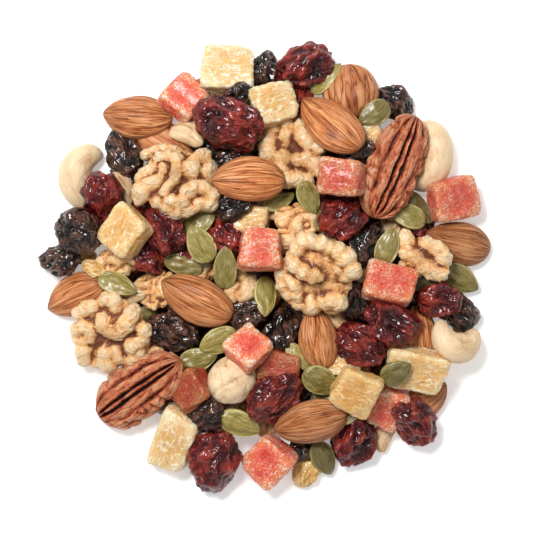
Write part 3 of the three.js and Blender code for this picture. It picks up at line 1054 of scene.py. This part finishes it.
def almond_skin(look):
    """A matt brown skin with fine lengthwise grooves."""
    shader = Shader("almond_skin")
    streak = shader.noise(shader.grain, 2.4, 4.0, 0.65)
    line = shader.veins(shader.grain, 1.15, 1.0, 0.05)
    dust = shader.noise(shader.place, 2600, 2.0, 0.55)
    blotch = shader.noise(shader.place, 240, 2.0, 0.55)
    tone = shader.relief * 0.55 + streak * 1.15 + dust * 0.3 + blotch * 0.3 - line * 0.34 - 0.56
    # Darker in the grooves and lighter on the ridges: painted shade and painted highlight, over the
    # skin's own streaks, lines and blotches.
    colour = shader.ramp(tone, (0.1, look.groove), (0.48, look.skin), (0.85, look.ridge))
    colour = shader.shaded(colour, grey(0.66), grey(1.1))
    shader.bump(dust * 0.6 + streak * 1.8 - line, 0.0003)
    shader.scatter(0.05, (0.9, 0.4, 0.2), 0.001)
    shader.coat(0.12, 0.3)
    return shader.finish(colour, 0.5, 0.35)


def walnut_skin(look):
    """A thin tan skin, brown in the creases between the lobes, partly as painted shade, and paler
    on the lobes, partly as painted highlight.
    """
    shader = Shader("walnut_skin")
    blotch = shader.noise(shader.place, 260)
    fine = shader.noise(shader.place, 1500)
    vein = shader.noise(shader.grain, 2.6, 4.0, 0.65)
    crack = shader.veins(shader.place, 190, 3.0, 0.035)
    tone = shader.relief * 1.25 + blotch * 0.95 + vein * 0.85 + fine * 0.3 - crack * 0.14 - 1.03
    # Low relief, in the creases and the walnut's middle, is painted brown as shade over the skin's
    # own brown; the highest places get the pale flesh colour, partly as painted highlight.
    brown = (0.1, look.crease), (0.38, look.skin)
    colour = shader.ramp(tone, *brown, (0.62, look.lobe), (1.0, look.flesh))
    colour = shader.shaded(colour, grey(0.8), grey(1.06))
    shader.bump(fine + vein * 1.6 - crack * 0.5, 0.0004)
    shader.scatter(0.12, (1.0, 0.6, 0.3), 0.001)
    shader.coat(0.3, 0.2)
    return shader.finish(colour, 0.36, 0.4)


def pecan_skin(look):
    """A reddish brown skin, painted nearly black in the two grooves as shade, and lighter on the
    ridges, partly as painted highlight.
    """
    shader = Shader("pecan_skin")
    vein = shader.noise(shader.grain, 2.8, 4.0, 0.65)
    crack = shader.veins(shader.grain, 1.5, 2.0, 0.05)
    fine = shader.noise(shader.place, 1400)
    blotch = shader.noise(shader.place, 260, 2.0, 0.55)
    tone = shader.relief + vein * 0.75 + fine * 0.3 + blotch * 0.35 - crack * 0.16 - 0.72
    brown = (0.1, look.groove), (0.36, look.skin)
    colour = shader.ramp(tone, *brown, (0.66, look.ridge), (0.95, look.flesh))
    shader.bump(fine * 0.8 + vein * 1.8 - crack * 0.6, 0.0005)
    shader.coat(0.15, 0.22)
    return shader.finish(colour, 0.4, 0.3)


def kernel_flesh(look):
    """The smooth cream-coloured flesh of a nut without its skin."""
    shader = Shader("cashew_flesh")
    blotch = shader.noise(shader.place, 190)
    fine = shader.noise(shader.place, 1300)
    line = shader.veins(shader.grain, 0.8, 3.0, 0.035)
    tone = shader.relief * 0.75 + blotch * 0.8 + fine * 0.15 - line * 0.16 - 0.34
    # Darker on the inner side of each bend and in the hollows, down to the shade colour: painted
    # shade; seams and notches darker still.
    colour = shader.ramp(tone, (0.12, look.seam), (0.4, look.shade), (0.72, look.flesh))
    shader.bump(fine + blotch - line * 0.5, 0.00022, 0.8)
    shader.scatter(0.35, (1.0, 0.7, 0.4), 0.0018)
    return shader.finish(colour, 0.42, 0.35)


def cube_flesh(name, look):
    """Translucent candied fruit with pale fibres in it, under a crust of sugar crystals."""
    shader = Shader(name)
    relief = shader.relief
    blotch = shader.noise(shader.place, 200)
    grains = shader.noise(shader.place, 2100, 1.0, 0.5)
    dust = shader.noise(shader.place, 900)
    fibre = shader.veins(shader.grain, 0.6, 1.5, 0.045)
    thread = shader.veins(shader.grain, 1.3, 1.0, 0.04)
    # Lighter along the edges and darker in the middle of the faces: painted light shining through
    # the thin edges, over the fruit's own blotches.
    tone = blotch * 1.1 + dust * 0.25 + relief * 0.6 - 0.32
    colour = shader.ramp(tone, (0.28, look.deep), (0.52, look.flesh), (0.9, look.edge))
    frost = shader.clamp((dust * 0.8 + blotch * 0.8 - 0.72) * 2.4)
    colour = shader.mix(frost * look.frost, colour, look.sugar)
    # The pale threads are partly the fruit's own fibres and partly painted highlight.
    threads = shader.clamp(fibre + thread * blotch * 0.9)
    colour = shader.mix(threads * look.fibre, colour, look.crystal)
    sparkle = grains * 0.9 + dust * 0.6 + blotch * 0.5 + relief * 0.16 - 1.14
    sparkle = shader.clamp(sparkle * 7.0)
    colour = shader.mix(sparkle * look.sparkle, colour, look.crystal)
    colour = shader.shaded(colour, look.dim, grey(1.05))
    shader.bump(grains * 0.5 + dust * 0.4 + threads * 0.8, 0.0004, 0.9)
    shader.scatter(0.75, look.glow, 0.0035)
    shader.coat(0.25, 0.15)
    return shader.finish(colour, frost * 0.2 + 0.26, 0.4)


def berry_skin(name, look):
    """A shrivelled fruit skin: dark, crossed by fine raised wrinkles that catch the light."""
    shader = Shader(name)
    relief = shader.relief
    blotch = shader.noise(shader.place, 210)
    fine = shader.noise(shader.place, 1300, 2.0)
    wrinkle = shader.veins(shader.grain, look.wrinkles, 2.0, 0.2)
    # Darker in the hollows of the folds: painted shade. The wrinkles' lines are painted a little
    # lighter: painted highlight.
    tone = relief * 0.75 + blotch * 0.8 + fine * 0.25 + wrinkle * 0.1 - 0.5
    colour = shader.ramp(tone, (0.15, look.deep), (0.5, look.skin), (0.9, look.thin))
    # The bloom mask lays the skin's own pale dusty bloom on the ridges, where it also stands for a
    # painted sheen.
    bloom_and_sheen = shader.clamp((relief * 0.8 + fine * 0.6 + blotch * 0.7 - 1.22) * 2.2)
    colour = shader.mix(bloom_and_sheen * look.dusting_and_sheen, colour, look.bloom_and_sheen)
    shader.bump(fine * 0.15 + wrinkle * 0.9, 0.0007)
    shader.scatter(0.05, (1.0, 0.25, 0.15), 0.001)
    shader.coat(look.gloss, 0.07)
    return shader.finish(colour, fine * 0.2 + look.rough, 0.22)


def seed_skin(look):
    """The thin green skin of a shelled seed, paler along its rim."""
    shader = Shader("seed_skin")
    streak = shader.noise(shader.grain, 2.0)
    fine = shader.noise(shader.place, 1600, 2.0)
    tone = streak * 0.7 + fine * 0.25 + shader.relief * 0.4 - 0.01
    colour = shader.ramp(tone, (0.25, look.dark), (0.5, look.skin), (0.82, look.rim))
    colour = shader.shaded(colour, grey(0.4), grey(1.12))
    shader.bump(streak * 0.8 + fine * 0.6, 0.00025, 0.9)
    shader.coat(0.4, 0.2)
    return shader.finish(colour, 0.34, 0.4)


def crumb_bed(look):
    """Fine dark crumbs."""
    shader = Shader("crumb_bed")
    grit = shader.noise(shader.place, 420, 4.0, 0.7)
    colour = shader.ramp(grit, (0.3, look.dark), (0.7, look.light))
    shader.bump(grit, 0.001)
    return shader.finish(colour, 0.8)


def table_top(look):
    """A white sheet, faintly lit from below."""
    shader = Shader("table_top")
    haze = shader.noise(shader.place, 3, 2.0, 0.55)
    colour = shader.mix(haze, look.paper, tuple(0.985 * v for v in look.paper))
    shader.surface.inputs["Emission Color"].default_value = (1, 1, 1, 1)
    shader.surface.inputs["Emission Strength"].default_value = look.glow
    return shader.finish(colour, 0.9, 0.1)


# ---------------------------------------------------------------- settings


def colour(name, text, code):
    """A colour that a user can change."""
    return bpy.props.FloatVectorProperty(
        name=name, description=text, subtype="COLOR", size=3, min=0, max=1, default=tint(code)
    )


def weight(name, text, default):
    """A share for each of red, green and blue that a user can change."""
    return bpy.props.FloatVectorProperty(name=name, description=text, default=default, min=0)


def number(name, text, default, **limits):
    """A number that a user can change."""
    return bpy.props.FloatProperty(name=name, description=text, default=default, min=0, **limits)


def length(name, text, default):
    return number(name, text, default, unit="LENGTH")


def share(name, text, default):
    return number(name, text, default, max=1, subtype="FACTOR")


class TMH_HeapSettings(bpy.types.PropertyGroup):
    seed: bpy.props.IntProperty(name="Seed", description="Picks each piece's own shape", default=11)
    core_radius: length("Core radius", "Radius of the bed of crumbs inside", 0.74 * HEAP_RADIUS)
    core_height: length("Core height", "Height of the bed of crumbs inside", 0.004)
    hidden_reach: length("Hidden reach", "How far out the hidden pieces lie", 0.74 * HEAP_RADIUS)
    settle: share("Settle", "Share of a piece that may sink into what it lies on", 0.06)


class TMH_AlmondSettings(bpy.types.PropertyGroup):
    skin: colour("Skin", "Main colour of the skin", "d87e40")
    # Painted shade: the grooves are painted darker than the skin.
    groove: colour("Groove", "Colour in the grooves", "833e1a")
    # Painted highlight: the ridges are painted lighter than the skin.
    ridge: colour("Ridge", "Colour on the ridges", "fcb67c")


class TMH_WalnutSettings(bpy.types.PropertyGroup):
    skin: colour("Skin", "Colour of the skin", "f4b06e")
    # Partly painted shade: the creases are painted darker than the skin.
    crease: colour("Crease", "Colour in the creases", "7e4020")
    lobe: colour("Lobe", "Colour on the lobes", "fecb8c")
    # Paler where the skin is thin, and partly painted highlight on the tops of the lobes.
    flesh: colour("Flesh", "Colour where the skin is thin", "ffe0b4")


class TMH_PecanSettings(bpy.types.PropertyGroup):
    skin: colour("Skin", "Main colour of the skin", "983e22")
    # Painted shade: the grooves are painted nearly black.
    groove: colour("Groove", "Colour in the two grooves", "220c06")
    # Partly painted highlight: the ridges are painted lighter than the skin.
    ridge: colour("Ridge", "Colour on the ridges", "de7c4e")
    # Paler where the skin is thin, and partly painted highlight on the tops of the ridges.
    flesh: colour("Flesh", "Colour where the skin is thin", "e6b088")


class TMH_CashewSettings(bpy.types.PropertyGroup):
    flesh: colour("Flesh", "Main colour", "f8dcb4")
    shade: colour("Shade", "Colour of the hollows", "e6c092")
    seam: colour("Seam", "Colour of seams and notches", "a8784a")


class TMH_PapayaSettings(bpy.types.PropertyGroup):
    flesh: colour("Flesh", "Main colour", "ff7256")
    # Partly painted shade: darker in the middle of the faces, as part of the painted light through
    # the edges, and in the fruit's own darker patches.
    deep: colour("Deep", "Colour of the darker places", "ea4836")
    # Painted light: the edges are painted lighter, as light shining through them.
    edge: colour("Edge", "Colour along the edges", "ff9c58")
    sugar: colour("Sugar", "Colour under the sugar", "ff9474")
    crystal: weight("Crystal", "Colour of the sugar crystals", (1.0, 0.92, 0.84))
    dim: weight("Dim", "Tint of the darkest cubes", (0.46, 0.34, 0.2))
    frost: share("Frost", "How much the sugar covers", 0.25)
    sparkle: share("Sparkle", "How much the crystals show", 0.72)
    # Partly painted highlight on the fruit's own fibres.
    fibre: share("Fibre", "How much the fibres show", 0.12)
    glow: weight("Glow", "How far light spreads inside", (1.0, 0.35, 0.25))


class TMH_PineappleSettings(bpy.types.PropertyGroup):
    flesh: colour("Flesh", "Main colour", "f2c27a")
    # Partly painted shade: darker in the middle of the faces, as part of the painted light through
    # the edges, and in the fruit's own darker patches.
    deep: colour("Deep", "Colour of the darker places", "efbf78")
    # Painted light: the edges are painted lighter, as light shining through them.
    edge: colour("Edge", "Colour along the edges", "f8daa6")
    sugar: colour("Sugar", "Colour under the sugar", "ffe6b4")
    crystal: weight("Crystal", "Colour of the sugar crystals", (1.0, 0.95, 0.78))
    dim: weight("Dim", "Tint of the darkest cubes", (0.92, 0.72, 0.42))
    frost: share("Frost", "How much the sugar covers", 0.2)
    sparkle: share("Sparkle", "How much the crystals show", 0.32)
    # Partly painted highlight on the fruit's own fibres.
    fibre: share("Fibre", "How much the fibres show", 0.75)
    glow: weight("Glow", "How far light spreads inside", (1.0, 0.75, 0.4))


class TMH_CranberrySettings(bpy.types.PropertyGroup):
    skin: colour("Skin", "Main colour", "561014")
    # Painted shade: the hollows between folds are painted this darker colour.
    deep: colour("Deep", "Colour in the folds", "200306")
    thin: colour("Thin", "Colour where light shines through", "b03a28")
    # Partly the skin's own dusty bloom, partly a painted sheen on the ridges.
    bloom_and_sheen: colour("Bloom", "Colour of the dusty sheen", "c08078")
    dusting_and_sheen: share("Dusting", "How strong the sheen is", 0.1)
    rough: share("Roughness", "Roughness of the skin", 0.2)
    gloss: share("Gloss", "Strength of the gloss", 0.5)
    wrinkles: number("Wrinkles", "How close they lie", 1.2)


class TMH_RaisinSettings(bpy.types.PropertyGroup):
    skin: colour("Skin", "Main colour", "1a0d09")
    # Painted shade: the hollows between folds are painted this darker colour.
    deep: colour("Deep", "Colour in the folds", "060302")
    thin: colour("Thin", "Colour where light shines through", "70422c")
    # Partly the skin's own dusty bloom, partly a painted sheen on the ridges.
    bloom_and_sheen: colour("Bloom", "Colour of the dusty sheen", "9c9490")
    dusting_and_sheen: share("Dusting", "How strong the sheen is", 0.1)
    rough: share("Roughness", "Roughness of the skin", 0.24)
    gloss: share("Gloss", "Strength of the gloss", 0.75)
    wrinkles: number("Wrinkles", "How close they lie", 1.5)


class TMH_GoldenSettings(bpy.types.PropertyGroup):
    skin: colour("Skin", "Main colour", "e4b46c")
    # Painted shade: the hollows between folds are painted this darker colour.
    deep: colour("Deep", "Colour in the folds", "d09c54")
    thin: colour("Thin", "Colour where light shines through", "fadca0")
    # Partly the skin's own dusty bloom, partly a painted sheen on the ridges.
    bloom_and_sheen: colour("Bloom", "Colour of the dusty sheen", "fff0cc")
    dusting_and_sheen: share("Dusting", "How strong the sheen is", 0.5)
    rough: share("Roughness", "Roughness of the skin", 0.3)
    gloss: share("Gloss", "Strength of the gloss", 0.3)
    wrinkles: number("Wrinkles", "How close they lie", 1.0)


class TMH_SeedSettings(bpy.types.PropertyGroup):
    skin: colour("Skin", "Main colour", "a6944e")
    dark: colour("Dark", "Colour of the darker streaks", "665c28")
    rim: colour("Rim", "Colour of the rim", "d8cc8a")


class TMH_CoreSettings(bpy.types.PropertyGroup):
    dark: colour("Dark", "Colour between the crumbs", "2a160c")
    light: colour("Light", "Colour of the crumbs", "6e4629")


class TMH_StageSettings(bpy.types.PropertyGroup):
    paper: bpy.props.FloatVectorProperty(
        name="Table", description="Colour of the table", subtype="COLOR", default=linear("fcfcfc")
    )
    table: length("Table size", "Side of the table top", 4.0)
    height: length("Camera height", "How high the camera stands over the heap", 1.3)
    view: length("View width", "Width of the table that the camera takes in", 0.1788)
    key: number("Key", "Key light's power", 12.0)
    fill: number("Fill", "Fill light's power", 1.2)
    sky: number("Sky", "Strength of the even light", 0.34)
    glow: share("Table glow", "How brightly the white table is lit from below", 0.32)


# ---------------------------------------------------------------- operators


class TMH_OT_lay(bpy.types.Operator):
    """Lay every piece of the heap on the ones below it"""

    bl_idname = "tmh.lay"
    bl_label = "Lay the heap"

    def execute(self, context):
        HEAP.clear()
        HEAP.update(pour(context.scene.tmh_heap))
        return {"FINISHED"}


class TMH_OT_core(bpy.types.Operator):
    """Add the bed of crumbs inside the heap"""

    bl_idname = "tmh.core"
    bl_label = "Bed of crumbs"

    def execute(self, context):
        settings = context.scene.tmh_heap
        bm = bmesh.new()
        bmesh.ops.create_uvsphere(bm, u_segments=96, v_segments=48, radius=1)
        mesh = mesh_of(bm, "crumb_core")
        unit = points_of(mesh)
        rough = 1 + 0.1 * layered(unit * (9, 9, 3), 3, 71)
        height = settings.core_height * dome(np.hypot(unit[:, 0], unit[:, 1])) * rough
        # A little smaller than the ground that the pieces are laid on, so that they hide it.
        points = unit * settings.core_radius * 0.97
        points[:, 2] = np.where(unit[:, 2] > 0, 0.2 * MM + 0.92 * height, 0)
        mesh.vertices.foreach_set("co", points.ravel())
        piece = make_piece("crumb_core", mesh, crumb_bed(context.scene.tmh_core))
        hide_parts(NODE)
        return {"FINISHED"}


class TMH_OT_almonds(bpy.types.Operator):
    """Add the almonds and the plump round nut"""

    bl_idname = "tmh.almonds"
    bl_label = "Almonds"

    def execute(self, context):
        joined("almonds", ["almond", "plump"], almond_skin(context.scene.tmh_almond))
        return {"FINISHED"}


class TMH_OT_walnuts(bpy.types.Operator):
    """Add the walnut halves and their broken bits"""

    bl_idname = "tmh.walnuts"
    bl_label = "Walnuts"

    def execute(self, context):
        skin = walnut_skin(context.scene.tmh_walnut)
        halves = ["curled_walnut", "ringed_walnut", "notched_walnut"]
        joined("walnut_halves", halves + ["walnut_piece", "walnut_curl"], skin)
        joined("walnut_bits", ["nib"], skin)
        return {"FINISHED"}


class TMH_OT_pecans(bpy.types.Operator):
    """Add the pecan halves"""

    bl_idname = "tmh.pecans"
    bl_label = "Pecans"

    def execute(self, context):
        joined("pecans", ["pecan"], pecan_skin(context.scene.tmh_pecan))
        return {"FINISHED"}


class TMH_OT_cashews(bpy.types.Operator):
    """Add the cashews, their splinters and the blanched hazelnut"""

    bl_idname = "tmh.cashews"
    bl_label = "Cashews and blanched nuts"

    def execute(self, context):
        kinds = ["cashew", "splinter", "hazelnut"]
        joined("cashews", kinds, kernel_flesh(context.scene.tmh_cashew))
        return {"FINISHED"}


class TMH_OT_papaya(bpy.types.Operator):
    """Add the papaya cubes"""

    bl_idname = "tmh.papaya"
    bl_label = "Papaya"

    def execute(self, context):
        joined("papaya", ["papaya"], cube_flesh("papaya_flesh", context.scene.tmh_papaya))
        return {"FINISHED"}


class TMH_OT_pineapple(bpy.types.Operator):
    """Add the pineapple cubes"""

    bl_idname = "tmh.pineapple"
    bl_label = "Pineapple"

    def execute(self, context):
        flesh = cube_flesh("pineapple_flesh", context.scene.tmh_pineapple)
        joined("pineapple", ["pineapple"], flesh)
        return {"FINISHED"}


class TMH_OT_cranberries(bpy.types.Operator):
    """Add the dried cranberries"""

    bl_idname = "tmh.cranberries"
    bl_label = "Cranberries"

    def execute(self, context):
        skin = berry_skin("cranberry_skin", context.scene.tmh_cranberry)
        joined("cranberries", ["cranberry"], skin)
        return {"FINISHED"}


class TMH_OT_raisins(bpy.types.Operator):
    """Add the dark and the golden raisins"""

    bl_idname = "tmh.raisins"
    bl_label = "Raisins"

    def execute(self, context):
        joined("raisins", ["raisin"], berry_skin("raisin_skin", context.scene.tmh_raisin))
        joined("golden_raisins", ["golden"], berry_skin("golden_skin", context.scene.tmh_golden))
        return {"FINISHED"}


class TMH_OT_seeds(bpy.types.Operator):
    """Add the pumpkin seeds"""

    bl_idname = "tmh.seeds"
    bl_label = "Pumpkin seeds"

    def execute(self, context):
        joined("pumpkin_seeds", ["seed"], seed_skin(context.scene.tmh_seed))
        return {"FINISHED"}


MIDDLE = Vector((0, 0, HEAP_HIGH.z / 2))
KEY_PLACE, KEY_SIZE = (-0.3, 0.38, 0.92), 0.34
FILL_PLACE, FILL_SIZE = (0.6, -0.2, 0.9), 0.8
SENSOR = 36  # millimetres


def area_light(name, place, size, power):
    """A soft square light at a place, turned to shine at the middle of the heap."""
    lamp = bpy.data.lights.new(name, "AREA")
    lamp.size = size
    lamp.energy = power
    holder = bpy.data.objects.new(name, lamp)
    holder.location = place
    aim = MIDDLE - Vector(place)
    holder.rotation_euler = aim.to_track_quat("-Z", "Y").to_euler()
    bpy.context.scene.collection.objects.link(holder)


class TMH_OT_stage(bpy.types.Operator):
    """Add the table, the lights and the camera"""

    bl_idname = "tmh.stage"
    bl_label = "Stage"

    def execute(self, context):
        look = context.scene.tmh_stage
        bm = bmesh.new()
        bmesh.ops.create_grid(bm, x_segments=1, y_segments=1, size=look.table / 2)
        mesh = mesh_of(bm, "table")
        mesh.materials.append(table_top(look))
        table = bpy.data.objects.new("table", mesh)
        context.scene.collection.objects.link(table)

        world = bpy.data.worlds.new("even_light")
        context.scene.world = world
        world.use_nodes = True
        sky = world.node_tree.nodes["Background"]
        sky.inputs["Color"].default_value = (1, 1, 1, 1)
        sky.inputs["Strength"].default_value = look.sky

        area_light("key", KEY_PLACE, KEY_SIZE, look.key)
        area_light("fill", FILL_PLACE, FILL_SIZE, look.fill)

        lens = bpy.data.cameras.new("camera")
        lens.sensor_width = SENSOR
        lens.lens = SENSOR * look.height / look.view
        lens.dof.use_dof = False
        camera = bpy.data.objects.new("camera", lens)
        camera.location = (0, 0, MIDDLE.z + look.height)
        context.scene.collection.objects.link(camera)
        context.scene.camera = camera
        context.scene.view_settings.view_transform = "Standard"
        return {"FINISHED"}


class TMH_PT_panel(bpy.types.Panel):
    """The heap's pieces, in the order in which they are made"""

    bl_label = "Trail mix heap"
    bl_space_type = "VIEW_3D"
    bl_region_type = "UI"
    bl_category = "Trail mix"

    def draw(self, context):
        for operator in OPERATORS:
            self.layout.operator(operator.bl_idname)
        for name in SETTINGS:
            settings = getattr(context.scene, name)
            box = self.layout.box()
            for field in settings.bl_rna.properties:
                if field.identifier not in {"rna_type", "name"}:
                    box.prop(settings, field.identifier)


SETTINGS = {
    "tmh_heap": TMH_HeapSettings,
    "tmh_almond": TMH_AlmondSettings,
    "tmh_walnut": TMH_WalnutSettings,
    "tmh_pecan": TMH_PecanSettings,
    "tmh_cashew": TMH_CashewSettings,
    "tmh_papaya": TMH_PapayaSettings,
    "tmh_pineapple": TMH_PineappleSettings,
    "tmh_cranberry": TMH_CranberrySettings,
    "tmh_raisin": TMH_RaisinSettings,
    "tmh_golden": TMH_GoldenSettings,
    "tmh_seed": TMH_SeedSettings,
    "tmh_core": TMH_CoreSettings,
    "tmh_stage": TMH_StageSettings,
}

OPERATORS = [
    TMH_OT_lay,
    TMH_OT_core,
    TMH_OT_almonds,
    TMH_OT_walnuts,
    TMH_OT_pecans,
    TMH_OT_cashews,
    TMH_OT_papaya,
    TMH_OT_pineapple,
    TMH_OT_cranberries,
    TMH_OT_raisins,
    TMH_OT_seeds,
    TMH_OT_stage,
]


def register():
    for name, settings in SETTINGS.items():
        bpy.utils.register_class(settings)
        setattr(bpy.types.Scene, name, bpy.props.PointerProperty(type=settings))
    for operator in OPERATORS:
        bpy.utils.register_class(operator)
    bpy.utils.register_class(TMH_PT_panel)


def unregister():
    bpy.utils.unregister_class(TMH_PT_panel)
    for operator in reversed(OPERATORS):
        bpy.utils.unregister_class(operator)
    for name, settings in reversed(SETTINGS.items()):
        delattr(bpy.types.Scene, name)
        bpy.utils.unregister_class(settings)


def main():
    register()
    bpy.ops.tmh.lay()
    bpy.ops.tmh.core()
    bpy.ops.tmh.almonds()
    bpy.ops.tmh.walnuts()
    bpy.ops.tmh.pecans()
    bpy.ops.tmh.cashews()
    bpy.ops.tmh.papaya()
    bpy.ops.tmh.pineapple()
    bpy.ops.tmh.cranberries()
    bpy.ops.tmh.raisins()
    bpy.ops.tmh.seeds()
    bpy.ops.tmh.stage()


if __name__ == "__main__":
    main()
